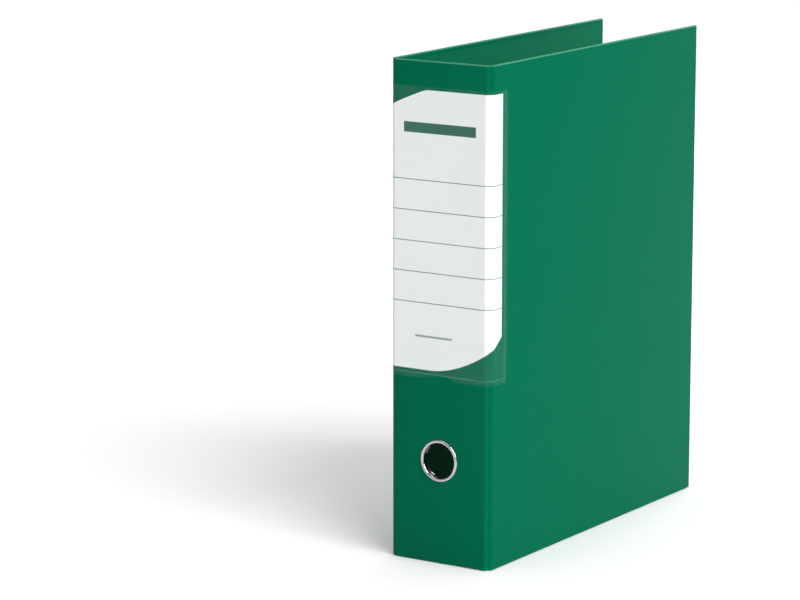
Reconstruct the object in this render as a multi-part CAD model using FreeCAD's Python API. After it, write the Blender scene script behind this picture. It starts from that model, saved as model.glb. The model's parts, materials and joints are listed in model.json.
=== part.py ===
"""Lever arch file for oversize A4 sheets, standing upright and closed.

A spine and two covers are greyboard panels wrapped in green film and lined inside. Each cover joins the
spine through a narrow film hinge that folds along both of its edges. A clear pocket with a title card wraps
the spine, and a metal ring lines the finger hole. On the back cover's inside a riveted mechanism holds the
sheets: a base plate, two fixed posts, one sprung wire that forms both arches, a lever whose roller presses
the wire's crank down, and a compressor bar that slides along the posts.

Millimetres, +Z up. The origin is the bottom centre of the whole file. -Y is the spine's side, +X the front
cover's side. "Rise" is the distance from the back cover's inner face, along +X.
"""

import FreeCAD
import Part

import math
import os

V = FreeCAD.Vector

# Overall sizes
FILE_HEIGHT = 350.0
FILE_DEPTH = 285.0  # spine's outer face to the covers' free edges
FILE_WIDTH = 82.0  # outer face to outer face of the covers

# Panels and hinges
BOARD = 2.0
WRAP = 0.4  # outer film
LINING = 0.3
LINING_MARGIN = 3.5  # lining's edge to the panel's edge
HEM = 15.0  # outer film turned in over the board
HINGE_FOLD = 4.3  # how far each hinge film cuts the corner, in X and in Y
HINGE_FILM = 0.7
HINGE_GAP = 0.35  # between a hinge film and each panel's edge
WRAP_ROUNDING = 0.3

# Title pocket and card, which run round both corners on to the covers
POCKET_FILM = 0.25
CARD = 0.2
CARD_GAP = 0.05
POCKET_SEAM = 1.6
POCKET_BOTTOM = 130.0
POCKET_TOP = 332.5
POCKET_REACH = 21.1  # spine's outer face to its edge on each cover
CARD_REACH = 14.3  # spine's outer face to its edge on each cover
CARD_BOTTOM = 136.0
CARD_TOP = 330.0
CARD_TOP_DROP = 18.0  # the top edge curves down to the back cover's side
CARD_BOTTOM_RISE = 27.0  # the bottom edge curves up to the front cover's side

# Finger ring
FINGER_HOLE_R = 12.5  # clear hole
RING_WALL = 0.6
RING_FLANGE_R = 15.0
RING_PROUD = 1.2
FINGER_HOLE_HEIGHT = 73.0
RING_CLEARANCE = 0.05

# Mechanism: places
MECHANISM_HEIGHT = 175.0  # centre of the two posts above the file's bottom
POST_PITCH = 80.0
SHAFT_FROM_SPINE = 29.0  # arch shaft to the spine's outer face
POST_FROM_SHAFT = 30.0
LEVER_FROM_SHAFT = 13.4

# Base plate
PLATE_LENGTH = 132.0
PLATE_WIDTH = 62.0
PLATE_OVERHANG = 12.0  # plate's edge on the spine's side to the shaft
PLATE_SHEET = 1.0
PLATE_RISE = 3.2  # top of the plate
PLATE_CORNER_R = 7.0
PLATE_RIB_WIDTH = 5.0
PLATE_RIB_PROUD = 0.8
RIVET_INSET = 9.0
RIVET_R = 2.0
RIVET_HEAD_R = 4.5
RIVET_HEAD_PROUD = 0.9
RIVET_CLEARANCE = 0.05
LUG_WIDTH = 4.0
LUG_FROM_ARCH = 7.0  # lug's middle to the arch beside it

# Arch wire and posts
WIRE_R = 2.0
WIRE_CLEARANCE = 0.05  # in the plate's lugs
SHAFT_RISE = 6.6
WIRE_BEND_R = 4.5
ARCH_TOP_RISE = 67.5
ARCH_TIP_RISE = 52.0
ARCH_LEG_RISE = 42.0  # where the leg starts to curve
ARCH_APEX_R = 10.0
ARCH_APEX_OFFSET = 1.0  # apex centre towards the post, from mid-span
CRANK_THROW = 12.4
CRANK_LENGTH = 10.0
CRANK_JOG = 5.0
CRANK_BEND_R = 2.6
POST_FOOT_R = 2.8
POST_FOOT_RISE = 10.0  # above the compressor bar at rest
POST_R = 2.4  # the tube that the sheets hang on
POST_BORE_R = 1.7
POST_BORE_DEPTH = 12.0
POST_COLLAR_R = 4.0
POST_COLLAR = 1.0
TIP_GAP = 0.3

# Lever, its bracket and roller
PIVOT_FROM_CENTRE = 4.0  # below the mechanism's centre
PIVOT_RISE = 9.0
PIVOT_R = 1.8
PIVOT_CLEARANCE = 0.05
LEVER_WIDTH = 11.0
LEVER_SHEET = 1.2
LEVER_DEPTH = 4.6  # depth of its folded sides
LEVER_TOP_RISE = 17.0  # outer face of the straight run
LEVER_RUN = 25.0
LEVER_BEND_R = 11.0
LEVER_BEND_ANGLE = 62.0
LEVER_RAMP = 4.0
LEVER_TIP_BEND_R = 8.0
LEVER_TIP_RUN = 11.0
LEVER_BOSS_R = 4.4
ROLLER_R = 3.2
ROLLER_WIDTH = 6.0
ROLLER_FROM_PIVOT = 17.0
ROLLER_GAP = 0.2  # over the crank
ROLLER_PIN_R = 1.4
ROLLER_CLEARANCE = 0.06
BRACKET_SHEET = 1.2
BRACKET_GAP = 0.3  # each side of the lever
TOWER_FROM_CENTRE = 16.0  # above the mechanism's centre
TOWER_BASE_R = 10.5
TOWER_TOP_R = 9.2
TOWER_HEIGHT = 18.0
TOWER_SLOT_WIDTH = 3.0
TOWER_SLOT_COUNT = 6
TOWER_HOLE_R = 1.6
TOWER_HOLE_SPACING = 8.0
SPRING_SHEET = 0.6
SPRING_WIDTH = 6.0
SPRING_GAP = 0.25  # under the crank

# Compressor bar
BAR_LENGTH = 136.0
BAR_WIDTH = 20.0
BAR_SHEET = 1.0
BAR_RIM = 2.6
BAR_RISE = 6.2  # underside at rest
BAR_FROM_POST = 5.0  # its middle line beyond the posts
BAR_POST_CLEARANCE = 0.3
CLIP_SHEET = 0.7
CLIP_WIDTH = 9.0
CLIP_LENGTH = 16.0
CLIP_OFFSET = 1.5  # its middle line beyond the posts
CLIP_HOLE_CLEARANCE = 0.08

# Derived places
PANEL = WRAP + BOARD + LINING
POCKET_PROUD = POCKET_FILM + CARD + 2 * CARD_GAP
X_BACK = -(FILE_WIDTH + POCKET_PROUD - RIVET_HEAD_PROUD) / 2  # back cover's outer face
X_FRONT = X_BACK + FILE_WIDTH  # front cover's outer face
Y_SPINE = -(FILE_DEPTH - RING_PROUD) / 2  # spine's outer face
Y_EDGE = Y_SPINE + FILE_DEPTH
FLOOR_X = X_BACK + PANEL  # back cover's inner face, where rise is 0
SPINE_WIDTH = FILE_WIDTH - 2 * HINGE_FOLD
COVER_DEPTH = FILE_DEPTH - HINGE_FOLD
POCKET_FLAP = POCKET_REACH - HINGE_FOLD
CARD_FLAP = CARD_REACH - HINGE_FOLD
SHAFT_Y = Y_SPINE + SHAFT_FROM_SPINE
POST_Y = SHAFT_Y + POST_FROM_SHAFT
LEVER_Y = SHAFT_Y + LEVER_FROM_SHAFT
LOWER_Z = MECHANISM_HEIGHT - POST_PITCH / 2
UPPER_Z = MECHANISM_HEIGHT + POST_PITCH / 2
PIVOT_Z = MECHANISM_HEIGHT - PIVOT_FROM_CENTRE
ROLLER_RISE = SHAFT_RISE + WIRE_R + ROLLER_GAP + ROLLER_R
ROLLER_Z = PIVOT_Z - ROLLER_FROM_PIVOT
TOWER_Z = MECHANISM_HEIGHT + TOWER_FROM_CENTRE
PLATE_Y0 = SHAFT_Y - PLATE_OVERHANG
PLATE_Z0 = MECHANISM_HEIGHT - PLATE_LENGTH / 2
BAR_Y = POST_Y + BAR_FROM_POST
RIVET_PLACES = [
    (y, z)
    for y in (PLATE_Y0 + RIVET_INSET, PLATE_Y0 + PLATE_WIDTH - RIVET_INSET)
    for z in (PLATE_Z0 + RIVET_INSET, PLATE_Z0 + PLATE_LENGTH - RIVET_INSET)
]


def at_rise(rise, y, z):
    """A point of the mechanism: its rise from the back cover, and its place along Y and Z."""
    return V(FLOOR_X + rise, y, z)


def box(low, high):
    """A box between two corners."""
    size = high - low
    return Part.makeBox(size.x, size.y, size.z, low)


def rod(radius, start, direction, length):
    """A cylinder from a point along a direction."""
    return Part.makeCylinder(radius, length, start, direction)


# ---------------------------------------------------------------- panels


def panel_box(width, near, far, inset):
    """One layer of a panel: X along its width from the hinge edge, Y inwards from its outer face."""
    return box(V(inset, near, inset), V(width - inset, far, FILE_HEIGHT - inset))


def panel_layers(width):
    """Board, wrap and lining of a panel in its own frame. The wrap's hem lies flush in the board's face."""
    board_face = WRAP + BOARD
    whole = panel_box(width, 0, board_face, 0)
    wrap_edges = [e for e in whole.Edges if abs(e.CenterOfMass.y) < 1e-6]
    whole = whole.makeFillet(WRAP_ROUNDING, wrap_edges)
    board = panel_box(width, WRAP, board_face, WRAP)
    hem_layer = panel_box(width, board_face - WRAP, board_face, 0)
    hem = hem_layer.cut(panel_box(width, board_face - WRAP, board_face, HEM))
    board = board.cut(hem)
    wrap = whole.cut(board)
    lining = panel_box(width, board_face, board_face + LINING, LINING_MARGIN)
    return {"board": board, "wrap": wrap, "lining": lining}


def spine_nodes():
    """The spine's layers, with the finger hole through them."""
    hole = rod(
        FINGER_HOLE_R + RING_WALL + RING_CLEARANCE,
        V((X_BACK + X_FRONT) / 2, Y_SPINE - PANEL, FINGER_HOLE_HEIGHT),
        V(0, 1, 0),
        3 * PANEL,
    )
    corner = V(X_BACK + HINGE_FOLD, Y_SPINE, 0)
    layers = panel_layers(SPINE_WIDTH)
    return {f"spine_{name}": shape.translated(corner).cut(hole) for name, shape in layers.items()}


def cover_nodes():
    """Both covers. The back cover has a hole for each rivet."""
    layers = panel_layers(COVER_DEPTH)
    nodes = {}
    for name, shape in layers.items():
        front = shape.copy()
        front.rotate(V(0, 0, 0), V(0, 0, 1), 90)
        front.translate(V(X_FRONT, Y_SPINE + HINGE_FOLD, 0))
        nodes[f"front_{name}"] = front
        back = shape.mirror(V(0, 0, 0), V(0, 1, 0))
        back.rotate(V(0, 0, 0), V(0, 0, 1), 90)
        back.translate(V(X_BACK, Y_SPINE + HINGE_FOLD, 0))
        for y, z in RIVET_PLACES:
            start = V(X_BACK - PANEL, y, z)
            back = back.cut(rod(RIVET_R + RIVET_CLEARANCE, start, V(1, 0, 0), 3 * PANEL))
        nodes[f"back_{name}"] = back
    return nodes


def hinge_film(front):
    """The film across one corner, mitred inside so that it clears both panels as it folds."""
    width = HINGE_FOLD * math.sqrt(2)
    section = [
        (HINGE_GAP, 0),
        (width - HINGE_GAP, 0),
        (width - HINGE_GAP - HINGE_FILM, HINGE_FILM),
        (HINGE_GAP + HINGE_FILM, HINGE_FILM),
    ]
    side = 1 if front else -1
    start = V(X_FRONT - HINGE_FOLD if front else X_BACK + HINGE_FOLD, Y_SPINE, 0)
    along = V(side, 1, 0) * math.sqrt(0.5)
    inwards = V(-side, 1, 0) * math.sqrt(0.5)
    points = [start + along * u + inwards * v for u, v in section]
    face = Part.Face(Part.makePolygon(points + points[:1]))
    return face.extrude(V(0, 0, FILE_HEIGHT))


# ---------------------------------------------------------------- pocket, card and finger ring


def card_outline():
    """The card unrolled flat: X across the whole card, Z its height. One curve ends it above, one below."""
    half = SPINE_WIDTH / 2 + HINGE_FOLD * math.sqrt(2) + CARD_FLAP
    low_left = V(-half, 0, CARD_BOTTOM)
    low_turn = V(-half * 0.15, 0, CARD_BOTTOM)
    low_bulge = V(half * 0.425, 0, CARD_BOTTOM + CARD_BOTTOM_RISE * 0.27)
    low_right = V(half, 0, CARD_BOTTOM + CARD_BOTTOM_RISE)
    up_right = V(half, 0, CARD_TOP)
    up_turn = V(-half * 0.15, 0, CARD_TOP)
    up_bulge = V(-half * 0.575, 0, CARD_TOP - CARD_TOP_DROP * 0.42)
    up_left = V(-half, 0, CARD_TOP - CARD_TOP_DROP)
    edges = [
        Part.LineSegment(low_left, low_turn),
        Part.Arc(low_turn, low_bulge, low_right),
        Part.LineSegment(low_right, up_right),
        Part.LineSegment(up_right, up_turn),
        Part.Arc(up_turn, up_bulge, up_left),
        Part.LineSegment(up_left, low_left),
    ]
    return Part.Face(Part.Wire([e.toShape() for e in edges]))


def card_piece(from_x, to_x, shift):
    """The unrolled card between two places across it, as a flat solid whose first edge is at X = shift."""
    card = card_outline().extrude(V(0, CARD, 0))
    span = box(V(from_x, -1, 0), V(to_x, CARD + 1, FILE_HEIGHT))
    piece = card.common(span)
    piece.translate(V(shift - from_x, 0, 0))
    return piece


def pocket_piece(width, far_seam):
    """A clear film held off the panel by its seams: X along its width, Y outwards from the panel."""
    height = POCKET_TOP - POCKET_BOTTOM
    film = Part.makeBox(width, POCKET_FILM, height, V(0, POCKET_PROUD - POCKET_FILM, POCKET_BOTTOM))
    depth = POCKET_PROUD - POCKET_FILM
    seams = [Part.makeBox(width, depth, POCKET_SEAM, V(0, 0, POCKET_BOTTOM))]
    if far_seam:
        seams.append(Part.makeBox(POCKET_SEAM, depth, height, V(width - POCKET_SEAM, 0, POCKET_BOTTOM)))
    return film.multiFuse(seams).removeSplitter()


def pocket_and_card_nodes():
    """Pocket and card on the spine, and their flaps on each cover, which move with the cover."""
    nodes = {}
    half = SPINE_WIDTH / 2
    middle_x = (X_BACK + X_FRONT) / 2
    pocket = pocket_piece(SPINE_WIDTH, False)
    pocket = pocket.mirror(V(0, 0, 0), V(0, 1, 0))
    pocket.translate(V(middle_x - half, Y_SPINE, 0))
    nodes["label_pocket"] = pocket
    card = card_piece(-half, half, middle_x - half)
    card.translate(V(0, Y_SPINE - CARD_GAP - CARD, 0))
    nodes["label_card"] = card
    card_start = half + HINGE_FOLD * math.sqrt(2)
    hinge_y = Y_SPINE + HINGE_FOLD
    # front flaps: +X in the flap's frame runs along +Y, outwards along +X
    flap = pocket_piece(POCKET_FLAP, True)
    front = flap.mirror(V(0, 0, 0), V(0, 1, 0))
    front.rotate(V(0, 0, 0), V(0, 0, 1), 90)
    front.translate(V(X_FRONT, hinge_y, 0))
    nodes["pocket_front_flap"] = front
    back = flap.copy()
    back.rotate(V(0, 0, 0), V(0, 0, 1), 90)
    back.translate(V(X_BACK, hinge_y, 0))
    nodes["pocket_back_flap"] = back
    card = card_piece(card_start, card_start + CARD_FLAP, 0)
    card.translate(V(0, -CARD_GAP - CARD, 0))
    card.rotate(V(0, 0, 0), V(0, 0, 1), 90)
    card.translate(V(X_FRONT, hinge_y, 0))
    nodes["label_front_flap"] = card
    card = card_piece(-card_start - CARD_FLAP, -card_start, -CARD_FLAP)
    card.translate(V(0, -CARD_GAP - CARD, 0))
    card.rotate(V(0, 0, 0), V(0, 0, 1), -90)
    card.translate(V(X_BACK, hinge_y, 0))
    nodes["label_back_flap"] = card
    return nodes


def ring_nodes():
    """Finger ring, a flanged barrel, and the washer that closes it inside."""
    middle_x = (X_BACK + X_FRONT) / 2
    barrel_r = FINGER_HOLE_R + RING_WALL
    washer = 0.7
    inner_end = PANEL + washer + RING_WALL
    crown = RING_FLANGE_R - RING_WALL

    def revolved(points):
        """A ring from its section, given as (radius, distance inwards from the spine's outer face)."""
        corners = [V(r, d, 0) for r, d in points]
        face = Part.Face(Part.makePolygon(corners + corners[:1]))
        solid = face.revolve(V(0, 0, 0), V(0, 1, 0), 360)
        solid.translate(V(middle_x, Y_SPINE, FINGER_HOLE_HEIGHT))
        return solid

    ring = revolved(
        [
            (FINGER_HOLE_R, inner_end),
            (FINGER_HOLE_R, -RING_PROUD * 0.45),
            (FINGER_HOLE_R + 0.5, -RING_PROUD * 0.85),
            (barrel_r + 0.3, -RING_PROUD),
            (crown, -RING_PROUD * 0.7),
            (RING_FLANGE_R, -RING_CLEARANCE),
            (barrel_r, -RING_CLEARANCE),
            (barrel_r, PANEL + washer + RING_CLEARANCE),
            (barrel_r + 0.8, PANEL + washer + RING_CLEARANCE),
            (barrel_r + 0.8, inner_end),
        ]
    )
    washer_ring = revolved(
        [
            (barrel_r + RING_CLEARANCE, PANEL),
            (RING_FLANGE_R, PANEL),
            (RING_FLANGE_R - 0.4, PANEL + washer),
            (barrel_r + RING_CLEARANCE, PANEL + washer),
        ]
    )
    return {"finger_ring": ring, "finger_ring_washer": washer_ring}


# ---------------------------------------------------------------- wire paths


def rounded_path(points, radii):
    """A wire of straight runs with a tangent arc at each inner point."""
    edges = []
    here = points[0]
    for i in range(1, len(points) - 1):
        corner = points[i]
        into = (corner - points[i - 1]).normalize()
        out = (points[i + 1] - corner).normalize()
        turn = math.acos(max(-1.0, min(1.0, into.dot(out))))
        reach = radii[i - 1] * math.tan(turn / 2)
        start = corner - into * reach
        end = corner + out * reach
        bisector = (out - into).normalize()
        centre = corner + bisector * (radii[i - 1] / math.cos(turn / 2))
        middle = centre - bisector * radii[i - 1]
        edges.append(Part.makeLine(here, start))
        edges.append(Part.Arc(start, middle, end).toShape())
        here = end
    edges.append(Part.makeLine(here, points[-1]))
    return edges


def arch_edges(z):
    """The curved top of one arch at height z, from the leg's side to the tip's side: three tangent arcs."""
    half = POST_FROM_SHAFT / 2
    middle_y = SHAFT_Y + half
    centre_rise = ARCH_TOP_RISE - ARCH_APEX_R
    leg_dx = half + ARCH_APEX_OFFSET
    tip_dx = half - ARCH_APEX_OFFSET
    leg_dy = centre_rise - ARCH_LEG_RISE
    tip_dy = centre_rise - ARCH_TIP_RISE
    leg_r = (leg_dx**2 + leg_dy**2 - ARCH_APEX_R**2) / (2 * (leg_dx - ARCH_APEX_R))
    tip_r = (tip_dx**2 + tip_dy**2 - ARCH_APEX_R**2) / (2 * (tip_dx - ARCH_APEX_R))
    apex_y = middle_y + ARCH_APEX_OFFSET
    leg_angle = math.atan2(leg_dy, leg_r - leg_dx)
    tip_angle = math.atan2(tip_dy, tip_r - tip_dx)

    def on_leg(angle):
        return at_rise(
            ARCH_LEG_RISE + leg_r * math.sin(angle), SHAFT_Y + leg_r - leg_r * math.cos(angle), z
        )

    def on_tip(angle):
        return at_rise(
            ARCH_TIP_RISE + tip_r * math.sin(angle), POST_Y - tip_r + tip_r * math.cos(angle), z
        )

    top = at_rise(ARCH_TOP_RISE, apex_y, z)
    return [
        Part.Arc(on_leg(0), on_leg(leg_angle / 2), on_leg(leg_angle)).toShape(),
        Part.Arc(on_leg(leg_angle), top, on_tip(tip_angle)).toShape(),
        Part.Arc(on_tip(tip_angle), on_tip(tip_angle / 2), on_tip(0)).toShape(),
    ]


def swept(edges, radius):
    """A round wire along joined tangent edges, with its surface facing outwards."""
    path = Part.Wire(Part.__sortEdges__(edges))
    start = path.OrderedEdges[0]
    tangent = start.tangentAt(start.FirstParameter)
    point = start.valueAt(start.FirstParameter)
    circle = Part.Wire([Part.makeCircle(radius, point, tangent)])
    wire = path.makePipeShell([circle], True, False)
    return wire if wire.Volume > 0 else wire.reversed()


def arch_wire():
    """One wire: lower arch, shaft with the crank that the roller presses, and upper arch."""
    crank_end = ROLLER_Z + CRANK_LENGTH / 2
    crank_start = ROLLER_Z - CRANK_LENGTH / 2
    crank_y = SHAFT_Y + CRANK_THROW
    points = [
        at_rise(ARCH_LEG_RISE, SHAFT_Y, LOWER_Z),
        at_rise(SHAFT_RISE, SHAFT_Y, LOWER_Z),
        at_rise(SHAFT_RISE, SHAFT_Y, crank_start - CRANK_JOG / 2),
        at_rise(SHAFT_RISE, crank_y, crank_start),
        at_rise(SHAFT_RISE, crank_y, crank_end),
        at_rise(SHAFT_RISE, SHAFT_Y, crank_end + CRANK_JOG / 2),
        at_rise(SHAFT_RISE, SHAFT_Y, UPPER_Z),
        at_rise(ARCH_LEG_RISE, SHAFT_Y, UPPER_Z),
    ]
    radii = [WIRE_BEND_R] + [CRANK_BEND_R] * 4 + [WIRE_BEND_R]
    edges = arch_edges(LOWER_Z) + rounded_path(points, radii) + arch_edges(UPPER_Z)
    return swept(edges, WIRE_R)


def post(z):
    """A fixed post: a tube mouth at the top and a riveted collar at the foot."""
    top = ARCH_TIP_RISE - TIP_GAP
    foot = rod(POST_FOOT_R, at_rise(PLATE_RISE, POST_Y, z), V(1, 0, 0), POST_FOOT_RISE - PLATE_RISE)
    tube = rod(POST_R, at_rise(POST_FOOT_RISE, POST_Y, z), V(1, 0, 0), top - POST_FOOT_RISE)
    collar = rod(POST_COLLAR_R, at_rise(PLATE_RISE, POST_Y, z), V(1, 0, 0), POST_COLLAR)
    tenon = rod(
        POST_BORE_R, at_rise(PLATE_RISE - PLATE_SHEET, POST_Y, z), V(1, 0, 0), PLATE_SHEET
    )
    bore = rod(POST_BORE_R, at_rise(top - POST_BORE_DEPTH, POST_Y, z), V(1, 0, 0), POST_BORE_DEPTH)
    return foot.multiFuse([tube, collar, tenon]).cut(bore)


# ---------------------------------------------------------------- base plate, rivets and spring


def rounded_slab(low_rise, high_rise, y0, y1, z0, z1, radius):
    """A slab parallel to the cover with rounded corners."""
    slab = box(at_rise(low_rise, y0, z0), at_rise(high_rise, y1, z1))
    edges = [e for e in slab.Edges if abs(e.tangentAt(e.FirstParameter).x) > 0.9]
    return slab.makeFillet(radius, edges)


def base_plate():
    """A shallow pressed tray, open to the cover, with ribs and with lugs looped over the arch wire."""
    y0, y1 = PLATE_Y0, PLATE_Y0 + PLATE_WIDTH
    z0, z1 = PLATE_Z0, PLATE_Z0 + PLATE_LENGTH
    outer = rounded_slab(0, PLATE_RISE, y0, y1, z0, z1, PLATE_CORNER_R)
    rim = [e for e in outer.Edges if abs(e.CenterOfMass.x - FLOOR_X - PLATE_RISE) < 1e-6]
    outer = outer.makeFillet(PLATE_SHEET, rim)
    t = PLATE_SHEET
    inner = rounded_slab(0, PLATE_RISE - t, y0 + t, y1 - t, z0 + t, z1 - t, PLATE_CORNER_R - t)
    plate = outer.cut(inner)
    ribs = []
    rib_y = y1 - RIVET_INSET
    for rib_z0, rib_z1 in (
        (z0 + 2 * RIVET_INSET, MECHANISM_HEIGHT - 2 * TOWER_BASE_R),
        (MECHANISM_HEIGHT + 2 * TOWER_BASE_R, z1 - 2 * RIVET_INSET),
    ):
        ribs.append(
            rounded_slab(
                PLATE_RISE - t / 2,
                PLATE_RISE + PLATE_RIB_PROUD,
                rib_y - PLATE_RIB_WIDTH / 2,
                rib_y + PLATE_RIB_WIDTH / 2,
                rib_z0,
                rib_z1,
                PLATE_RIB_WIDTH / 2.01,
            )
        )
    plate = plate.multiFuse(ribs + [lug(z) for z in lug_places()])
    holes = [
        rod(RIVET_R + RIVET_CLEARANCE, at_rise(0, y, z), V(1, 0, 0), 2 * PLATE_RISE)
        for y, z in RIVET_PLACES
    ]
    holes += [
        rod(POST_BORE_R, at_rise(0, POST_Y, z), V(1, 0, 0), PLATE_RISE) for z in (LOWER_Z, UPPER_Z)
    ]
    wire_r = WIRE_R + WIRE_CLEARANCE
    holes += [
        rod(wire_r, at_rise(SHAFT_RISE, SHAFT_Y, z - LUG_WIDTH), V(0, 0, 1), 2 * LUG_WIDTH)
        for z in lug_places()
    ]
    for hole in holes:
        plate = plate.cut(hole)
    return plate


def lug_places():
    """Heights of the loops that hold the arch wire, clear of the crank and of both arches' bends."""
    above_crank = ROLLER_Z + CRANK_LENGTH / 2 + CRANK_JOG + LUG_WIDTH
    return [LOWER_Z + LUG_FROM_ARCH, above_crank, UPPER_Z - LUG_FROM_ARCH]


def lug(z):
    """A loop of the plate's sheet over the wire, solid down to the plate on both sides of it."""
    outer_r = WIRE_R + WIRE_CLEARANCE + PLATE_SHEET
    start = z - LUG_WIDTH / 2
    loop = rod(outer_r, at_rise(SHAFT_RISE, SHAFT_Y, start), V(0, 0, 1), LUG_WIDTH)
    foot = box(
        at_rise(PLATE_RISE - PLATE_SHEET / 2, SHAFT_Y - outer_r, start),
        at_rise(SHAFT_RISE, SHAFT_Y + outer_r, start + LUG_WIDTH),
    )
    return loop.fuse(foot)


def cover_rivets():
    """Four rivets through the plate and the back cover, with flat domed heads outside."""
    rivets = []
    for y, z in RIVET_PLACES:
        outside = V(X_BACK, y, z)
        shank = rod(RIVET_R, outside, V(1, 0, 0), PANEL + PLATE_RISE)
        head = Part.makeCone(RIVET_HEAD_R, RIVET_HEAD_R * 0.6, RIVET_HEAD_PROUD, outside, V(-1, 0, 0))
        inner_head = Part.makeCone(
            RIVET_HEAD_R * 0.8, RIVET_HEAD_R * 0.5, RIVET_HEAD_PROUD, at_rise(PLATE_RISE, y, z), V(1, 0, 0)
        )
        rivets.append(shank.multiFuse([head, inner_head]))
    return Part.makeCompound(rivets)


def arch_spring():
    """A leaf fixed to the plate that pushes the crank up when the lever lets go."""
    half = SPRING_WIDTH / 2
    reach = SHAFT_RISE - WIRE_R - SPRING_GAP
    crank_y = SHAFT_Y + CRANK_THROW
    outline = [
        (PLATE_RISE, crank_y + 17),
        (PLATE_RISE, crank_y + 8),
        (reach - SPRING_SHEET, crank_y + 4),
        (reach - SPRING_SHEET, crank_y - 2),
        (reach, crank_y - 2),
        (reach, crank_y + 4.4),
        (PLATE_RISE + SPRING_SHEET, crank_y + 8.6),
        (PLATE_RISE + SPRING_SHEET, crank_y + 17),
    ]
    points = [at_rise(rise, y, ROLLER_Z - half) for rise, y in outline]
    face = Part.Face(Part.makePolygon(points + points[:1]))
    return face.extrude(V(0, 0, SPRING_WIDTH))


# ---------------------------------------------------------------- lever, bracket, roller


def lever_band(outer, inner, width):
    """The lever's side outline between two depths below its outer face, as wide as asked."""

    def travel(depth):
        """Key points of the outline at a depth, as (place along -Z from the pivot, rise)."""
        angle = math.radians(LEVER_BEND_ANGLE)
        first_r = LEVER_BEND_R + depth - LEVER_DEPTH
        second_r = LEVER_TIP_BEND_R - depth
        rise = LEVER_TOP_RISE - depth
        start = (0, rise)
        turn = (LEVER_RUN, rise)
        c1 = (LEVER_RUN, rise + first_r)
        mid1 = (c1[0] + first_r * math.sin(angle / 2), c1[1] - first_r * math.cos(angle / 2))
        end1 = (c1[0] + first_r * math.sin(angle), c1[1] - first_r * math.cos(angle))
        ramp = (end1[0] + LEVER_RAMP * math.cos(angle), end1[1] + LEVER_RAMP * math.sin(angle))
        c2 = (ramp[0] + second_r * math.sin(angle), ramp[1] - second_r * math.cos(angle))
        mid2 = (c2[0] - second_r * math.sin(angle / 2), c2[1] + second_r * math.cos(angle / 2))
        end2 = (c2[0], c2[1] + second_r)
        tip = (end2[0] + LEVER_TIP_RUN, end2[1])
        return [start, turn, mid1, end1, ramp, mid2, end2, tip]

    def to_space(place):
        along, rise = place
        return at_rise(rise, LEVER_Y - width / 2, PIVOT_Z - along)

    def edges(keys):
        p = [to_space(k) for k in keys]
        return [
            Part.makeLine(p[0], p[1]),
            Part.Arc(p[1], p[2], p[3]).toShape(),
            Part.makeLine(p[3], p[4]),
            Part.Arc(p[4], p[5], p[6]).toShape(),
            Part.makeLine(p[6], p[7]),
        ], p

    top, top_points = edges(travel(outer))
    bottom, bottom_points = edges(travel(inner))
    caps = [
        Part.makeLine(top_points[0], bottom_points[0]),
        Part.makeLine(top_points[-1], bottom_points[-1]),
    ]
    wire = Part.Wire(Part.__sortEdges__(top + bottom + caps))
    return Part.Face(wire).extrude(V(0, width, 0))


def lever():
    """A folded channel that runs from its pivot past the lower arch and curls up into a finger tip."""
    outer = lever_band(0, LEVER_DEPTH, LEVER_WIDTH)
    hollow = lever_band(LEVER_SHEET, LEVER_DEPTH + 1, LEVER_WIDTH - 2 * LEVER_SHEET)
    side = LEVER_WIDTH / 2
    cheeks = []
    for face_y in (LEVER_Y - side, LEVER_Y + side - LEVER_SHEET):
        boss = rod(LEVER_BOSS_R, at_rise(PIVOT_RISE, face_y, PIVOT_Z), V(0, 1, 0), LEVER_SHEET)
        web = box(
            at_rise(PIVOT_RISE, face_y, PIVOT_Z - LEVER_BOSS_R),
            at_rise(LEVER_TOP_RISE - LEVER_SHEET, face_y + LEVER_SHEET, PIVOT_Z),
        )
        roller_web = box(
            at_rise(ROLLER_RISE - ROLLER_R * 0.8, face_y, ROLLER_Z - ROLLER_R),
            at_rise(LEVER_TOP_RISE - LEVER_SHEET, face_y + LEVER_SHEET, PIVOT_Z - LEVER_BOSS_R),
        )
        cheeks += [boss, web, roller_web]
    body = outer.cut(hollow).multiFuse(cheeks)
    beside = LEVER_Y - LEVER_WIDTH
    across = V(0, 1, 0)
    pivot_r = PIVOT_R + PIVOT_CLEARANCE
    pivot_hole = rod(pivot_r, at_rise(PIVOT_RISE, beside, PIVOT_Z), across, 2 * LEVER_WIDTH)
    pin_hole = rod(ROLLER_PIN_R, at_rise(ROLLER_RISE, beside, ROLLER_Z), across, 2 * LEVER_WIDTH)
    return body.cut(pivot_hole).cut(pin_hole).removeSplitter()


def roller():
    """The roller that runs on the crank."""
    start = at_rise(ROLLER_RISE, LEVER_Y - ROLLER_WIDTH / 2, ROLLER_Z)
    wheel = rod(ROLLER_R, start, V(0, 1, 0), ROLLER_WIDTH)
    return wheel.cut(rod(ROLLER_PIN_R + ROLLER_CLEARANCE, start, V(0, 1, 0), ROLLER_WIDTH))


def roller_pin():
    """The rivet that carries the roller between the lever's cheeks."""
    half = LEVER_WIDTH / 2
    start = at_rise(ROLLER_RISE, LEVER_Y - half, ROLLER_Z)
    return rod(ROLLER_PIN_R, start, V(0, 1, 0), LEVER_WIDTH)


def ear_faces():
    """Y of each bracket ear's inner and outer face."""
    inner = LEVER_WIDTH / 2 + BRACKET_GAP
    outer = inner + BRACKET_SHEET
    return [(LEVER_Y - outer, LEVER_Y - inner), (LEVER_Y + inner, LEVER_Y + outer)]


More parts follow.
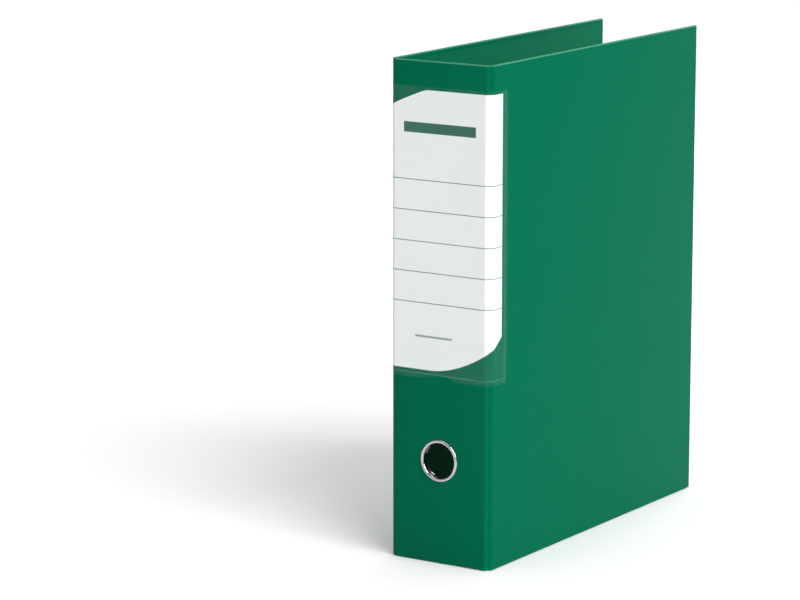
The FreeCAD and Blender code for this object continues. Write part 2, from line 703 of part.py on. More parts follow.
def lever_bracket():
    """A pressed tower on the plate, with slots in its wall and two holes in its top, and two pivot ears."""
    foot = at_rise(PLATE_RISE, LEVER_Y, TOWER_Z)
    outer = Part.makeCone(TOWER_BASE_R, TOWER_TOP_R, TOWER_HEIGHT, foot, V(1, 0, 0))
    top_edges = [e for e in outer.Edges if abs(e.CenterOfMass.x - foot.x - TOWER_HEIGHT) < 1e-6]
    outer = outer.makeFillet(BRACKET_SHEET, top_edges[:1])
    hollow = Part.makeCone(
        TOWER_BASE_R - BRACKET_SHEET,
        TOWER_TOP_R - BRACKET_SHEET,
        TOWER_HEIGHT - BRACKET_SHEET,
        foot,
        V(1, 0, 0),
    )
    tower = outer.cut(hollow)
    slot_low = PLATE_RISE + 2 * BRACKET_SHEET
    slot_high = PLATE_RISE + TOWER_HEIGHT - 3 * BRACKET_SHEET
    for i in range(TOWER_SLOT_COUNT):
        slot = box(
            at_rise(slot_low, LEVER_Y - TOWER_SLOT_WIDTH / 2, TOWER_Z),
            at_rise(slot_high, LEVER_Y + TOWER_SLOT_WIDTH / 2, TOWER_Z + 2 * TOWER_BASE_R),
        )
        slot.rotate(foot, V(1, 0, 0), 360 * (i + 0.5) / TOWER_SLOT_COUNT)
        tower = tower.cut(slot)
    for side in (-1, 1):
        centre = at_rise(PLATE_RISE, LEVER_Y + side * TOWER_HOLE_SPACING / 2, TOWER_Z - 1)
        tower = tower.cut(rod(TOWER_HOLE_R, centre, V(1, 0, 0), 2 * TOWER_HEIGHT))
    pieces = []
    for low_y, high_y in ear_faces():
        ear = rod(LEVER_BOSS_R, at_rise(PIVOT_RISE, low_y, PIVOT_Z), V(0, 1, 0), high_y - low_y)
        foot_web = box(
            at_rise(PLATE_RISE, low_y, PIVOT_Z - LEVER_BOSS_R),
            at_rise(PIVOT_RISE, high_y, TOWER_Z - TOWER_BASE_R * 0.6),
        )
        pieces += [ear, foot_web]
    inside = rod(TOWER_BASE_R - BRACKET_SHEET, foot, V(1, 0, 0), TOWER_HEIGHT - BRACKET_SHEET)
    ears = pieces[0].multiFuse(pieces[1:]).cut(inside)
    floor_cut = box(
        at_rise(-PLATE_RISE, LEVER_Y - 2 * TOWER_BASE_R, PIVOT_Z - 2 * LEVER_BOSS_R),
        at_rise(PLATE_RISE, LEVER_Y + 2 * TOWER_BASE_R, TOWER_Z + 2 * TOWER_BASE_R),
    )
    hole = rod(PIVOT_R, at_rise(PIVOT_RISE, LEVER_Y - 2 * LEVER_WIDTH, PIVOT_Z), V(0, 1, 0), 4 * LEVER_WIDTH)
    return tower.fuse(ears).cut(floor_cut).cut(hole).removeSplitter()


def lever_pivot_pin():
    """The pin pressed into both ears, on which the lever turns."""
    (low_y, _), (_, high_y) = ear_faces()
    head = 0.8
    start = at_rise(PIVOT_RISE, low_y, PIVOT_Z)
    pin = rod(PIVOT_R, start, V(0, 1, 0), high_y - low_y)
    heads = [
        rod(PIVOT_R * 1.5, at_rise(PIVOT_RISE, low_y - head, PIVOT_Z), V(0, 1, 0), head),
        rod(PIVOT_R * 1.5, at_rise(PIVOT_RISE, high_y, PIVOT_Z), V(0, 1, 0), head),
    ]
    return pin.multiFuse(heads)


# ---------------------------------------------------------------- compressor


def bar_profile(inset):
    """The bar seen from its face, with boat-shaped ends, inset all round."""
    half_length = BAR_LENGTH / 2 - inset
    half_width = BAR_WIDTH / 2 - inset
    end = half_width * 1.5
    z0 = MECHANISM_HEIGHT - half_length
    z1 = MECHANISM_HEIGHT + half_length
    y0, y1 = BAR_Y - half_width, BAR_Y + half_width
    bulge = half_width * 0.62
    lower_end = [
        at_rise(BAR_RISE, y0, z0 + end),
        at_rise(BAR_RISE, BAR_Y - bulge, z0 + end * 0.22),
        at_rise(BAR_RISE, BAR_Y, z0),
        at_rise(BAR_RISE, BAR_Y + bulge, z0 + end * 0.22),
        at_rise(BAR_RISE, y1, z0 + end),
    ]
    upper_end = [V(p.x, p.y, 2 * MECHANISM_HEIGHT - p.z) for p in reversed(lower_end)]
    edges = [
        Part.Arc(*lower_end[0:3]).toShape(),
        Part.Arc(*lower_end[2:5]).toShape(),
        Part.makeLine(lower_end[4], upper_end[0]),
        Part.Arc(*upper_end[0:3]).toShape(),
        Part.Arc(*upper_end[2:5]).toShape(),
        Part.makeLine(upper_end[4], lower_end[0]),
    ]
    return Part.Face(Part.Wire(Part.__sortEdges__(edges)))


def compressor_bar():
    """A shallow channel with folded rims and two holes for the posts."""
    outer = bar_profile(0).extrude(V(BAR_RIM, 0, 0))
    inner = bar_profile(BAR_SHEET).extrude(V(BAR_RIM, 0, 0))
    inner.translate(V(BAR_SHEET, 0, 0))
    bar = outer.cut(inner)
    for z in (LOWER_Z, UPPER_Z):
        start = at_rise(BAR_RISE - 1, POST_Y, z)
        bar = bar.cut(rod(POST_FOOT_R + BAR_POST_CLEARANCE, start, V(1, 0, 0), BAR_RIM + 2))
    return bar


def compressor_clips():
    """A spring clip at each post, lying in the bar's channel, whose hole grips the post."""
    clips = []
    for z in (LOWER_Z, UPPER_Z):
        low = at_rise(BAR_RISE + BAR_SHEET, POST_Y + CLIP_OFFSET - CLIP_WIDTH / 2, z - CLIP_LENGTH / 2)
        high = low + V(CLIP_SHEET, CLIP_WIDTH, CLIP_LENGTH)
        clip = box(low, high)
        start = at_rise(BAR_RISE, POST_Y, z)
        clips.append(clip.cut(rod(POST_FOOT_R + CLIP_HOLE_CLEARANCE, start, V(1, 0, 0), BAR_RIM)))
    return Part.makeCompound(clips)


# ---------------------------------------------------------------- all nodes


def all_nodes():
    """Every piece by its node's name."""
    nodes = {}
    nodes.update(spine_nodes())
    nodes.update(cover_nodes())
    nodes["front_hinge_film"] = hinge_film(True)
    nodes["back_hinge_film"] = hinge_film(False)
    nodes.update(pocket_and_card_nodes())
    nodes.update(ring_nodes())
    nodes["base_plate"] = base_plate()
    nodes["cover_rivets"] = cover_rivets()
    nodes["lower_post"] = post(LOWER_Z)
    nodes["upper_post"] = post(UPPER_Z)
    nodes["arch_wire"] = arch_wire()
    nodes["arch_spring"] = arch_spring()
    nodes["lever_bracket"] = lever_bracket()
    nodes["lever_pivot_pin"] = lever_pivot_pin()
    nodes["lever"] = lever()
    nodes["roller"] = roller()
    nodes["roller_pin"] = roller_pin()
    nodes["compressor_bar"] = compressor_bar()
    nodes["compressor_clips"] = compressor_clips()
    return nodes


os.makedirs("parts", exist_ok=True)
for name, shape in all_nodes().items():
    solids = shape.Solids
    state = "valid" if shape.isValid() else "NOT VALID"
    print(name, len(solids), "solids", round(shape.Volume, 1), "mm3", state)
    body = solids[0] if len(solids) == 1 else Part.makeCompound(solids)
    body.exportStep(f"parts/{name}.step")
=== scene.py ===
"""Looks of a lever arch file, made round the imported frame: case, title pocket and bright mechanism."""

import json
import math

import bmesh
import bpy
from mathutils import Matrix, Vector


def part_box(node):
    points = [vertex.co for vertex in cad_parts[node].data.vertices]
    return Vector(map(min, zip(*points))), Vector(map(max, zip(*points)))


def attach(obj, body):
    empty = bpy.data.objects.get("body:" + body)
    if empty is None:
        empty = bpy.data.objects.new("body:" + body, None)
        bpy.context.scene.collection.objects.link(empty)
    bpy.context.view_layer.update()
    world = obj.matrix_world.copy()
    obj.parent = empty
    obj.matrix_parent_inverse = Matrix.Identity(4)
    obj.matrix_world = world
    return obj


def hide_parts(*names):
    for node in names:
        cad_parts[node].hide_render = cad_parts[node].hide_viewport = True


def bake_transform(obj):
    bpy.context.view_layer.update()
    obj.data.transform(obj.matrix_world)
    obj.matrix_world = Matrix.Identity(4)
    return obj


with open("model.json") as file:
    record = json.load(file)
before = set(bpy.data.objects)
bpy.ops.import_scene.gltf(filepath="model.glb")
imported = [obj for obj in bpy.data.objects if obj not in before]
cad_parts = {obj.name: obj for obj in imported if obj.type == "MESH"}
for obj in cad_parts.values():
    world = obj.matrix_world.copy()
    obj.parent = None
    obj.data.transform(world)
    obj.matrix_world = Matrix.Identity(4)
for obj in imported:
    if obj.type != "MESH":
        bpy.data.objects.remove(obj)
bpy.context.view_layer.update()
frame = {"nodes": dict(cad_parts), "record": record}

bl_info = {
    "name": "Lever arch file",
    "version": (1, 0, 0),
    "blender": (4, 5, 0),
    "location": "3D View > Sidebar > Lever arch file",
    "description": "Makes the case, title pocket, finger ring and mechanism of a lever arch file",
    "category": "Add Mesh",
}

MM = 0.001
SPINE_LOW, SPINE_HIGH = (Vector(c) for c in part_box("spine_wrap"))
FRONT_LOW, FRONT_HIGH = (Vector(c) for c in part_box("front_wrap"))
BACK_LOW = Vector(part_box("back_wrap")[0])
POCKET_LOW, POCKET_HIGH = (Vector(c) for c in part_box("label_pocket"))
CARD_LOW, CARD_HIGH = (Vector(c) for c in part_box("label_card"))
FLAP_LOW, FLAP_HIGH = (Vector(c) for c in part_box("pocket_front_flap"))
CARD_FLAP_LOW, CARD_FLAP_HIGH = (Vector(c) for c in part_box("label_front_flap"))
RING_LOW, RING_HIGH = (Vector(c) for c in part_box("finger_ring"))
RING_CENTRE = (RING_LOW + RING_HIGH) / 2
HEIGHT = SPINE_HIGH.z
SPINE_WIDTH = SPINE_HIGH.x - SPINE_LOW.x
SPINE_FACE = SPINE_LOW.y
HINGE_WIDTH = (Vector((FRONT_HIGH.x, FRONT_LOW.y, 0)) - Vector((SPINE_HIGH.x, SPINE_FACE, 0))).length
CARD_THICKNESS = 0.18 * MM
POCKET_THICKNESS = 0.2 * MM
BODY_OF = {n: body for body, nodes in frame["record"]["behaviour"]["bodies"].items() for n in nodes}


# ---------------------------------------------------------------- sizes and colours


class FilmLooks(bpy.types.PropertyGroup):
    """The green film outside and the lining inside."""

    colour: bpy.props.FloatVectorProperty(
        name="Film", description="Colour of the outer film", subtype="COLOR", size=3,
        min=0, max=1, default=(0.0001, 0.116, 0.059),
    )
    lining_colour: bpy.props.FloatVectorProperty(
        name="Lining", description="Colour of the lining inside", subtype="COLOR", size=3,
        min=0, max=1, default=(0.0004, 0.135, 0.064),
    )
    thickness: bpy.props.FloatProperty(
        name="Film thickness", description="Thickness of the outer film", unit="LENGTH",
        default=0.4 * MM,
    )
    hem: bpy.props.FloatProperty(
        name="Hem", description="Width of film turned in over the board", unit="LENGTH",
        default=15 * MM,
    )
    rounding: bpy.props.FloatProperty(
        name="Edge rounding", description="Radius of the film over the board's edges", unit="LENGTH",
        default=0.8 * MM,
    )
    groove: bpy.props.FloatProperty(
        name="Groove", description="Depth of the groove along each hinge", unit="LENGTH",
        default=0.45 * MM,
    )


class TitleLooks(bpy.types.PropertyGroup):
    """The title card and its clear pocket."""

    card_colour: bpy.props.FloatVectorProperty(
        name="Card", description="Colour of the card", subtype="COLOR", size=3,
        min=0, max=1, default=(0.75, 0.79, 0.77),
    )
    print_colour: bpy.props.FloatVectorProperty(
        name="Print", description="Colour of the bar and the ruled lines", subtype="COLOR", size=3,
        min=0, max=1, default=(0.010, 0.110, 0.065),
    )
    first_line: bpy.props.FloatProperty(
        name="Lowest line", description="Height of the lowest ruled line", unit="LENGTH",
        default=182.9 * MM,
    )
    line_pitch: bpy.props.FloatProperty(
        name="Line pitch", description="Height from one ruled line to the next", unit="LENGTH",
        default=21.3 * MM,
    )
    line_count: bpy.props.IntProperty(name="Lines", description="Number of ruled lines", default=5, min=0)
    line_width: bpy.props.FloatProperty(
        name="Line width", description="Width of a ruled line", unit="LENGTH", default=0.6 * MM,
    )
    notch_width: bpy.props.FloatProperty(
        name="Notch width", description="Width of the pocket's thumb notch", unit="LENGTH",
        default=22 * MM,
    )
    notch_height: bpy.props.FloatProperty(
        name="Notch height", description="Height of the pocket's thumb notch", unit="LENGTH",
        default=3 * MM,
    )


class MetalLooks(bpy.types.PropertyGroup):
    """The plated mechanism and the finger ring."""

    colour: bpy.props.FloatVectorProperty(
        name="Plating", description="Colour of the bright plating", subtype="COLOR", size=3,
        min=0, max=1, default=(0.52, 0.52, 0.53),
    )
    edge: bpy.props.FloatProperty(
        name="Pressed edge", description="Rounding of pressed sheet edges", unit="LENGTH",
        default=0.22 * MM,
    )


class StageLooks(bpy.types.PropertyGroup):
    """The floor and the camera's lens."""

    lens: bpy.props.FloatProperty(
        name="Lens", description="Focal length on a 36 mm wide sensor, in mm", default=155.52, min=1,
    )
    floor_colour: bpy.props.FloatVectorProperty(
        name="Floor", description="Colour of the floor", subtype="COLOR", size=3,
        min=0, max=1, default=(0.82, 0.82, 0.82),
    )


# ---------------------------------------------------------------- shader maths


class Shade:
    """A socket of a material's nodes, or a number, that takes part in sums."""

    def __init__(self, surface, value):
        self.surface = surface
        self.value = value

    def maths(self, operation, first, second):
        return self.surface.node("ShaderNodeMath", {"operation": operation}, {0: first, 1: second})

    def __add__(self, other):
        return self.maths("ADD", self, other)

    def __sub__(self, other):
        return self.maths("SUBTRACT", self, other)

    def __mul__(self, other):
        return self.maths("MULTIPLY", self, other)

    def __gt__(self, other):
        return self.maths("GREATER_THAN", self, other)

    def __lt__(self, other):
        return self.maths("LESS_THAN", self, other)

    def __abs__(self):
        return self.maths("ABSOLUTE", self, 0)

    def most(self, other):
        return self.maths("MAXIMUM", self, other)

    __radd__ = __add__
    __rmul__ = __mul__


class Surface:
    """A material under construction round one Principled shader."""

    def __init__(self, name, **uniform):
        self.material = bpy.data.materials.new(name)
        self.material.use_nodes = True
        self.tree = self.material.node_tree
        self.shader = self.tree.nodes["Principled BSDF"]
        for socket, value in uniform.items():
            self.shader.inputs[socket.replace("_", " ")].default_value = value

    def node(self, kind, settings=None, inputs=None, out=0):
        made = self.tree.nodes.new(kind)
        for key, value in (settings or {}).items():
            setattr(made, key, value)
        for key, value in (inputs or {}).items():
            self.join(made.inputs[key], value)
        return Shade(self, made.outputs[out])

    def join(self, socket, value):
        value = value.value if isinstance(value, Shade) else value
        if isinstance(value, bpy.types.NodeSocket):
            self.tree.links.new(value, socket)
        else:
            socket.default_value = value

    def feed(self, **values):
        for socket, value in values.items():
            self.join(self.shader.inputs[socket.replace("_", " ")], value)
        return self

    def place(self):
        """Object coordinates, whole."""
        return self.node("ShaderNodeTexCoord", out="Object")

    def axes(self):
        """Object coordinates along X, Y and Z, in metres."""
        split = self.node("ShaderNodeSeparateXYZ", inputs={0: self.place()})
        outputs = split.value.node.outputs
        return [Shade(self, outputs[i]) for i in range(3)]

    def noise(self, scale, detail=2.0, stretch=(1, 1, 1)):
        """Noise from 0 to 1, with about scale features in a metre."""
        where = self.node(
            "ShaderNodeMapping", inputs={"Vector": self.place(), "Scale": [s * scale for s in stretch]}
        )
        return self.node("ShaderNodeTexNoise", inputs={"Vector": where, "Scale": 1.0, "Detail": detail})

    def cells(self, scale):
        """Distance to the nearest cell's centre, with about scale cells in a metre."""
        return self.node("ShaderNodeTexVoronoi", inputs={"Vector": self.place(), "Scale": scale})

    def mix(self, factor, first, second):
        """A colour between two."""
        colours = {6: self.colour(first), 7: self.colour(second), 0: factor}
        return self.node("ShaderNodeMix", {"data_type": "RGBA", "clamp_factor": True}, colours, out=2)

    def colour(self, value):
        return value if isinstance(value, Shade) else (*value, 1.0)

    def bump(self, height, distance, strength=1.0):
        return self.node(
            "ShaderNodeBump", inputs={"Height": height, "Distance": distance, "Strength": strength}
        )


def tinted(colour, amount):
    """A colour made lighter, or darker if the amount is below 1."""
    return tuple(min(1.0, c * amount) for c in colour)


def near(value, place, half_width):
    """1 within half_width of a place, else 0."""
    return abs(value - place) < half_width


def green_film():
    """Matt embossed film: a fine pebble, faint cloudiness, a painted highlight along the top edge and scuffs
    at the foot.
    """
    colour = tuple(bpy.context.scene.lever_arch_film.colour)
    s = Surface("green film", IOR=1.48, Specular_IOR_Level=0.015)
    height = s.axes()[2]
    clouds = s.noise(9, 3)
    pebble = s.cells(1500) * 0.6 + s.noise(2600, 2) * 0.4
    scuff = (height < 1.6 * MM) * (s.noise(160, 4) > 0.55)
    base = s.mix(clouds, tinted(colour, 0.95), tinted(colour, 1.05))
    base = s.mix(pebble * 0.25, base, tinted(colour, 1.25))
    base = s.mix(scuff * 0.3, base, tinted(colour, 1.8))
    # Painted highlight: the top 0.8 mm of the film is made paler, standing in for light caught by the rounded
    # top edge.
    painted_top_edge_highlight = (height > HEIGHT - 0.8 * MM) * (0.35 + clouds * 0.3)
    base = s.mix(painted_top_edge_highlight, base, (0.10, 0.32, 0.21))
    s.feed(Base_Color=base, Roughness=0.36 + clouds * 0.06 + pebble * 0.05 + scuff * 0.2)
    s.feed(Normal=s.bump(pebble, 0.03 * MM, 0.45))
    return s.material


def lining_paper():
    """Lining: matt, with the short fibres of coated paper."""
    colour = tuple(bpy.context.scene.lever_arch_film.lining_colour)
    s = Surface("green lining", IOR=1.45, Specular_IOR_Level=0.06)
    fibres = s.noise(900, 4, stretch=(1, 1, 0.25))
    clouds = s.noise(14, 3)
    base = s.mix(fibres * 0.6 + clouds * 0.3, tinted(colour, 0.88), tinted(colour, 1.16))
    s.feed(Base_Color=base, Roughness=0.52 + fibres * 0.1)
    s.feed(Normal=s.bump(fibres, 0.03 * MM, 0.5))
    return s.material


def greyboard():
    """Raw board: grey with flecks of darker and lighter fibre."""
    s = Surface("greyboard")
    flecks = s.noise(1100, 5)
    base = s.mix(flecks, (0.20, 0.19, 0.17), (0.42, 0.40, 0.37))
    s.feed(Base_Color=base, Roughness=0.86, Normal=s.bump(flecks, 0.05 * MM, 0.6))
    return s.material


def title_card_stock():
    """White card with a plain title bar and ruled lines, printed at set heights."""
    looks = bpy.context.scene.lever_arch_title
    s = Surface("title card", IOR=1.42)
    x, y, z = s.axes()
    lines = None
    for i in range(looks.line_count):
        line = near(z, looks.first_line + i * looks.line_pitch, looks.line_width / 2)
        lines = line if lines is None else lines.most(line)
    middle = (SPINE_LOW.x + SPINE_HIGH.x) / 2
    bar = near(z, CARD_HIGH.z - 26 * MM, 3.6 * MM) * near(x, middle, 29 * MM)
    short_rule = near(z, CARD_LOW.z + 23.5 * MM, 0.7 * MM) * near(x, middle - 4.7 * MM, 15 * MM)
    fibres = s.noise(1500, 3)
    paper = s.mix(fibres, tinted(looks.card_colour, 0.985), tinted(looks.card_colour, 1.015))
    ink = lines * 0.85 + bar * (y < SPINE_FACE) + short_rule * 0.7
    s.feed(Base_Color=s.mix(ink, paper, tuple(looks.print_colour)), Roughness=0.55 + fibres * 0.08)
    s.feed(Normal=s.bump(fibres, 0.01 * MM, 0.4))
    return s.material


def pocket_film():
    """Clear film that shows by its faint reflections and the fine line of its weld."""
    s = Surface("clear pocket film", Metallic=1.0, IOR=1.5)
    axes = s.axes()
    weld_inset = 3.4 * MM
    weld = near(axes[1], FLAP_HIGH.y - weld_inset, 0.3 * MM)
    weld = weld.most(near(axes[2], POCKET_LOW.z + weld_inset, 0.25 * MM))
    ripple = s.noise(45, 2) * 0.7 + s.noise(420, 1) * 0.3
    s.feed(Base_Color=s.mix(weld, (0.93, 0.97, 0.95), (0.62, 0.82, 0.74)))
    s.feed(Alpha=0.005 + ripple * 0.008 + weld * 0.09, Roughness=0.08 + weld * 0.3)
    s.feed(Normal=s.bump(ripple, 0.1 * MM, 0.4))
    return s.material


def plating():
    """Bright plate over pressed steel: faint waviness, hairlines and duller patches."""
    colour = tuple(bpy.context.scene.lever_arch_metal.colour)
    s = Surface("bright plating", Metallic=1.0)
    patches = s.noise(70, 4)
    hairlines = s.noise(2600, 2, stretch=(1, 1, 0.03))
    base = s.mix(patches, tinted(colour, 0.88), tinted(colour, 1.10))
    s.feed(Base_Color=base, Roughness=0.07 + patches * 0.07 + hairlines * 0.05)
    s.feed(Normal=s.bump(patches * 0.7 + hairlines * 0.3, 0.02 * MM, 0.35))
    return s.material


def spring_steel():
    """Spring steel: greyer, brushed across."""
    s = Surface("spring steel", Metallic=1.0)
    brushed = s.noise(3000, 2, stretch=(1, 0.04, 1))
    base = s.mix(brushed, (0.36, 0.36, 0.37), (0.52, 0.52, 0.54))
    s.feed(Base_Color=base, Roughness=0.24 + brushed * 0.16, Normal=s.bump(brushed, 0.01 * MM, 0.5))
    return s.material


def roller_plastic():
    """Pale moulded plastic of the roller."""
    s = Surface("roller plastic", IOR=1.48)
    clouds = s.noise(600, 2)
    base = s.mix(clouds, (0.50, 0.50, 0.47), (0.58, 0.58, 0.55))
    s.feed(Base_Color=base, Roughness=0.38 + clouds * 0.08, Normal=s.bump(clouds, 0.01 * MM, 0.3))
    return s.material


MATERIALS = {
    "film": green_film,
    "lining": lining_paper,
    "board": greyboard,
    "card": title_card_stock,
    "pocket": pocket_film,
    "plating": plating,
    "spring": spring_steel,
    "roller": roller_plastic,
}
MADE = {}


def finish_for(name):
    """One material of each kind, made the first time that it is asked for."""
    if name not in MADE:
        MADE[name] = MATERIALS[name]()
    return MADE[name]


# ---------------------------------------------------------------- modelling


def choose(*objects):
    """Leaves only these objects selected, the first one active."""
    bpy.ops.object.select_all(action="DESELECT")
    for item in objects:
        item.select_set(True)
    bpy.context.view_layer.objects.active = objects[0]


def added(name):
    """The primitive that was just added, named, with its place moved into its mesh."""
    made = bpy.context.object
    made.name = name
    made.data.name = name
    choose(made)
    bpy.ops.object.transform_apply(location=True, rotation=True, scale=True)
    return made


def block(name, low, high):
    """A box between two corners."""
    bpy.ops.object.select_all(action="DESELECT")
    bpy.ops.mesh.primitive_cube_add(size=1, location=(low + high) / 2)
    bpy.context.object.scale = high - low
    return added(name)


def open_for_edit(item, test):
    """Puts a piece in edit mode with only the faces that pass the test selected."""
    choose(item)
    bpy.ops.object.mode_set(mode="EDIT")
    bpy.ops.mesh.select_mode(type="FACE")
    bpy.ops.mesh.select_all(action="DESELECT")
    mesh = bmesh.from_edit_mesh(item.data)
    for face in mesh.faces:
        face.select_set(test(face))
    bmesh.update_edit_mesh(item.data)


def close_edit():
    bpy.ops.object.mode_set(mode="OBJECT")


def modify(item, kind, **settings):
    """Adds a modifier and applies it."""
    choose(item)
    made = item.modifiers.new(kind.title(), kind)
    for key, value in settings.items():
        setattr(made, key, value)
    bpy.ops.object.modifier_apply(modifier=made.name)


def mend(item):
    """Merges doubles and turns every face outwards."""
    open_for_edit(item, lambda face: True)
    bpy.ops.mesh.remove_doubles(threshold=1e-6)
    bpy.ops.mesh.normals_make_consistent(inside=False)
    close_edit()


def smooth(item, degrees=35):
    choose(item)
    bpy.ops.object.shade_smooth_by_angle(angle=math.radians(degrees))


def settle(item, material, nodes=(), body=None):
    """Gives a finished piece its material and slot, and the body and CAD nodes that it stands for."""
    item.data.materials.clear()
    item.data.materials.append(finish_for(material))
    if body:
        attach(item, body)
    if nodes:
        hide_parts(*nodes)
    return item


def paint(node, material):
    """Gives a CAD node that keeps its own shape its material."""
    mesh = frame["nodes"][node].data
    mesh.materials.clear()
    mesh.materials.append(finish_for(material))


def lathe(name, profile, centre, axis, steps=96):
    """A turned piece: its profile is (radius, distance along the axis) in mm, closed on itself."""
    bpy.ops.object.select_all(action="DESELECT")
    bpy.ops.mesh.primitive_circle_add(vertices=len(profile), radius=1, location=(0, 0, 0))
    made = bpy.context.object
    made.name = name
    for vertex, (radius, along) in zip(made.data.vertices, profile):
        vertex.co = (radius * MM, 0, along * MM)
    modify(made, "SCREW", steps=steps, render_steps=steps, axis="Z", use_merge_vertices=True)
    turn = Vector((0, 0, 1)).rotation_difference(Vector(axis))
    made.data.transform(turn.to_matrix().to_4x4())
    made.data.transform(Matrix.Translation(centre))
    mend(made)
    smooth(made, 40)
    return made


def pressed_copy(node, material, edge=0.0, degrees=32):
    """A CAD node's own shape with its doubles merged, its pressed edges rounded and its curves smooth."""
    source = frame["nodes"][node]
    made = bpy.data.objects.new(f"{node}_finished", source.data.copy())
    bpy.context.scene.collection.objects.link(made)
    open_for_edit(made, lambda face: True)
    bpy.ops.mesh.remove_doubles(threshold=1e-6)
    bpy.ops.mesh.dissolve_limited(angle_limit=math.radians(0.6))
    close_edit()
    if edge:
        modify(
            made, "BEVEL", width=edge, segments=3, limit_method="ANGLE",
            angle_limit=math.radians(40), use_clamp_overlap=True, harden_normals=False,
        )
    smooth(made, degrees)
    return settle(made, material, (node,), BODY_OF[node])


# ---------------------------------------------------------------- case


def film_skin(name, node, inside):
    """One panel's film: over the outside and all four edges, turned in as a hem, with rounded edges."""
    looks = bpy.context.scene.lever_arch_film
    low, high = (Vector(c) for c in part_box(node))
    skin = block(name, low, high)
    open_for_edit(skin, lambda face: face.normal.dot(Vector(inside)) > 0.9)
    bpy.ops.mesh.inset(thickness=looks.hem, use_even_offset=True)
    bpy.ops.mesh.delete(type="FACE")
    close_edit()
    modify(
        skin, "BEVEL", width=looks.rounding, segments=4, limit_method="ANGLE",
        angle_limit=math.radians(40),
    )
    modify(skin, "SOLIDIFY", thickness=looks.thickness, offset=-1, use_even_offset=True)
    return skin


def bore_through(item, centre, radius, depth):
    """Cuts a round hole along Y through a piece."""
    bpy.ops.object.select_all(action="DESELECT")
    bpy.ops.mesh.primitive_cylinder_add(
        vertices=96, radius=radius, depth=depth, location=centre, rotation=(math.pi / 2, 0, 0)
    )
    cutter = added("cutter")
    modify(item, "BOOLEAN", operation="DIFFERENCE", solver="EXACT", object=cutter)
    bpy.data.objects.remove(cutter)


class CaseSkins(bpy.types.Operator):
    """The film over the spine and both covers"""

    bl_idname = "lever_arch.case_skins"
    bl_label = "Case film"

    def execute(self, context):
        spine = film_skin("spine_film", "spine_wrap", (0, 1, 0))
        washer_low, washer_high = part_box("finger_ring_washer")
        hole = (washer_high[0] - washer_low[0]) / 2 - 1.7 * MM
        bore_through(spine, RING_CENTRE, hole, 0.02)
        for skin, node in (
            (spine, "spine_wrap"),
            (film_skin("front_cover_film", "front_wrap", (-1, 0, 0)), "front_wrap"),
            (film_skin("back_cover_film", "back_wrap", (1, 0, 0)), "back_wrap"),
        ):
            smooth(skin, 30)
            settle(skin, "film", (node,), BODY_OF[node])
        return {"FINISHED"}


class BoardsAndLinings(bpy.types.Operator):
    """The boards inside the film and the linings over them"""

    bl_idname = "lever_arch.boards_and_linings"
    bl_label = "Boards and linings"

    def execute(self, context):
        for panel in ("spine", "front", "back"):
            paint(f"{panel}_board", "board")
            paint(f"{panel}_lining", "lining")
        return {"FINISHED"}


def along_case(side, u, proud):
    """A point in plan on the case's outside: u runs from the spine's edge round the corner to the cover.

    The side is +1 for the front cover and -1 for the back one. u is 0 where the hinge starts on the spine,
    negative on the spine. The second value is how far the point stands off the surface.
    """
    edge = SPINE_HIGH.x if side > 0 else SPINE_LOW.x
    face = FRONT_HIGH.x if side > 0 else BACK_LOW.x
    cover_edge = FRONT_LOW.y
    normals = [Vector((0, -1, 0)), Vector((side, -1, 0)).normalized(), Vector((side, 0, 0))]
    if u < 0:
        point = Vector((edge + side * u, SPINE_FACE, 0))
    elif u < HINGE_WIDTH:
        share = u / HINGE_WIDTH
        point = Vector((edge, SPINE_FACE, 0)).lerp(Vector((face, cover_edge, 0)), share)
    else:
        point = Vector((face, cover_edge + u - HINGE_WIDTH, 0))
    reach = 1.1 * MM
    turn_one = min(1, max(0, (u + reach) / (2 * reach)))
    turn_two = min(1, max(0, (u - HINGE_WIDTH + reach) / (2 * reach)))
    normal = normals[0].lerp(normals[1], turn_one).lerp(normals[2], turn_two).normalized()
    return point + normal * proud


def wrapped_sheet(name, side, u0, u1, columns, rows, bottom, top, proud):
    """A thin sheet laid round a corner of the case, between two edges given as heights over u."""
    bpy.ops.object.select_all(action="DESELECT")
    bpy.ops.mesh.primitive_grid_add(x_subdivisions=columns, y_subdivisions=rows, size=1)
    made = bpy.context.object
    made.name = name
    for vertex in made.data.vertices:
        u = u0 + (vertex.co.x + 0.5) * (u1 - u0)
        share = vertex.co.y + 0.5
        point = along_case(side, u, proud(u) if callable(proud) else proud)
        point.z = bottom(u) + share * (top(u) - bottom(u))
        vertex.co = point
    if side < 0:
        open_for_edit(made, lambda face: True)
        bpy.ops.mesh.flip_normals()
        close_edit()
    return made


def bend_with(item):
    """Moves a piece's placement into its mesh."""
    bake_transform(item)


SIDES = (("front", 1), ("back", -1))


class HingeFilms(bpy.types.Operator):
    """The film hinge at each corner, with a groove along its middle"""

    bl_idname = "lever_arch.hinge_films"
    bl_label = "Hinge films"

    def execute(self, context):
        looks = context.scene.lever_arch_film
        middle = HINGE_WIDTH / 2
        crease = 0.45 * MM

        def sunk(u):
            """The groove in the middle and a shallow crease where the film meets each panel."""
            groove = math.exp(-(((u - middle) / (0.75 * MM)) ** 4))
            folds = math.exp(-(((u - crease) / (0.35 * MM)) ** 2))
            folds += math.exp(-(((u - HINGE_WIDTH + crease) / (0.35 * MM)) ** 2))
            return -looks.groove * groove - looks.groove * 0.55 * folds

        for cover, side in SIDES:
            lap = 0.25 * MM
            strip = wrapped_sheet(
                f"{cover}_hinge", side, -lap, HINGE_WIDTH + lap, 64, 8,
                lambda u: 0.15 * MM, lambda u: HEIGHT - 0.15 * MM, sunk,
            )
            modify(strip, "SOLIDIFY", thickness=0.6 * MM, offset=-1, use_even_offset=False)
            smooth(strip, 50)
            settle(strip, "film", (f"{cover}_hinge_film",))
            bend_with(strip)
        return {"FINISHED"}


# ---------------------------------------------------------------- title pocket and card


